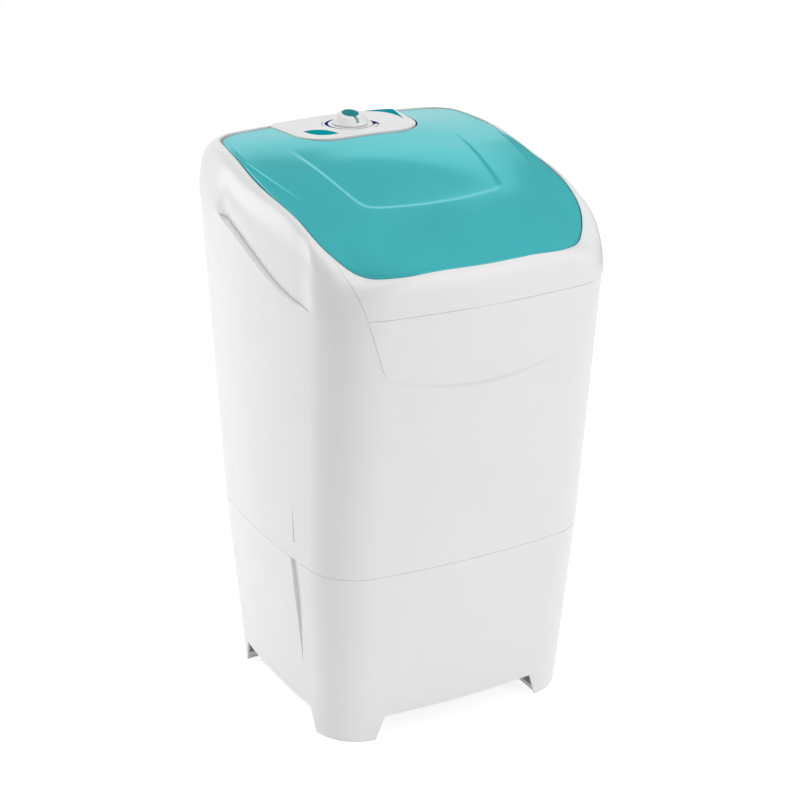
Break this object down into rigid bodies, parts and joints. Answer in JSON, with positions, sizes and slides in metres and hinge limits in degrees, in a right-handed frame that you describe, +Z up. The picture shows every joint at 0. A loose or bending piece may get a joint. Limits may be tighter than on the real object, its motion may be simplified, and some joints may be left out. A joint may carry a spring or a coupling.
{
  "type": "semi-automatic washing machine",
  "caption": "Single-tub washing machine with a tapered white body on moulded feet, a sloping hinged teal lid, a rear console with a timer knob and a belt-driven agitator.",
  "frame": {"origin": "on the floor under the middle of the body", "axes": "+Z up, -Y towards the front of the machine, +X to the right as seen from the front"},
  "size_m": [0.5246, 0.5724, 0.9322],
  "materials": {
    "white_plastic": "glossy injection-moulded white",
    "teal_plastic": "high-gloss teal",
    "panel_plastic": "glossy white panel with printed accents",
    "pad_rubber": "pale rubber",
    "tub_plastic": "satin moulded polypropylene",
    "agitator_plastic": "gloss moulded",
    "dark_rubber": "black rubber",
    "dark_plastic": "black moulded",
    "steel": "zinc-plated steel",
    "cast_aluminium": "die-cast",
    "painted_steel": "black enamel",
    "bronze": "sintered bronze"
  },
  "bodies": {
    "machine": {"base_skirt": "white_plastic", "foot_pads": "pad_rubber", "cabinet": "white_plastic", "top_cover": "white_plastic", "cover_screws": "steel", "hinge_pins": "steel", "lid_bumpers": "pad_rubber", "control_panel": "panel_plastic", "timer_box_cover": "tub_plastic", "timer_body": "dark_plastic", "wash_tub": "tub_plastic", "filter_runner": "tub_plastic", "bearing_housing": "cast_aluminium", "shaft_seal": "dark_rubber", "shaft_bushes": "bronze", "housing_screws": "steel", "drive_belt": "dark_rubber", "motor_top_shield": "cast_aluminium", "motor_stator": "painted_steel", "motor_end_shield": "cast_aluminium", "motor_bracket": "painted_steel", "motor_grommets": "dark_rubber", "motor_bolts": "steel", "bracket_screws": "steel", "run_capacitor": "dark_plastic", "capacitor_clip": "steel", "drain_elbow": "tub_plastic", "drain_grate": "tub_plastic", "cord_gland": "dark_plastic", "base_screws": "steel"},
    "lid_body": {"lid": "teal_plastic"},
    "knob_body": {"timer_knob": "white_plastic", "knob_cap": "teal_plastic", "timer_shaft": "steel"},
    "agitator_body": {"agitator": "agitator_plastic", "agitator_screw": "steel", "agitator_shaft": "steel", "drive_pulley": "cast_aluminium", "pulley_nut": "steel"},
    "rotor_body": {"motor_shaft": "steel", "rotor_core": "steel", "motor_pulley": "cast_aluminium"},
    "filter_body": {"lint_filter": "teal_plastic"}
  },
  "joints": [
    {"name": "lid_hinge", "type": "hinge", "parent": "machine", "child": "lid_body", "pos_m": [0, 0.212, 0.89903], "axis": [-1, 0, 0], "range_deg": [0, 105]},
    {"name": "knob_turn", "type": "hinge", "parent": "machine", "child": "knob_body", "pos_m": [0, 0.16, 0.918], "axis": [0, 0, -1], "range_deg": [0, 300]},
    {"name": "agitator_spin", "type": "hinge", "parent": "machine", "child": "agitator_body", "pos_m": [0, 0, 0.3], "axis": [0, 0, 1], "continuous": true},
    {"name": "motor_spin", "type": "hinge", "parent": "machine", "child": "rotor_body", "pos_m": [0, 0.135, 0.2], "axis": [0, 0, 1], "continuous": true},
    {"name": "filter_lift", "type": "slide", "parent": "machine", "child": "filter_body", "axis": [0, 0, 1], "range_m": [0, 0.06]}
  ],
  "couplings": [
    {"joint": "motor_spin", "follows": "agitator_spin", "ratio": 3.2925}
  ]
}
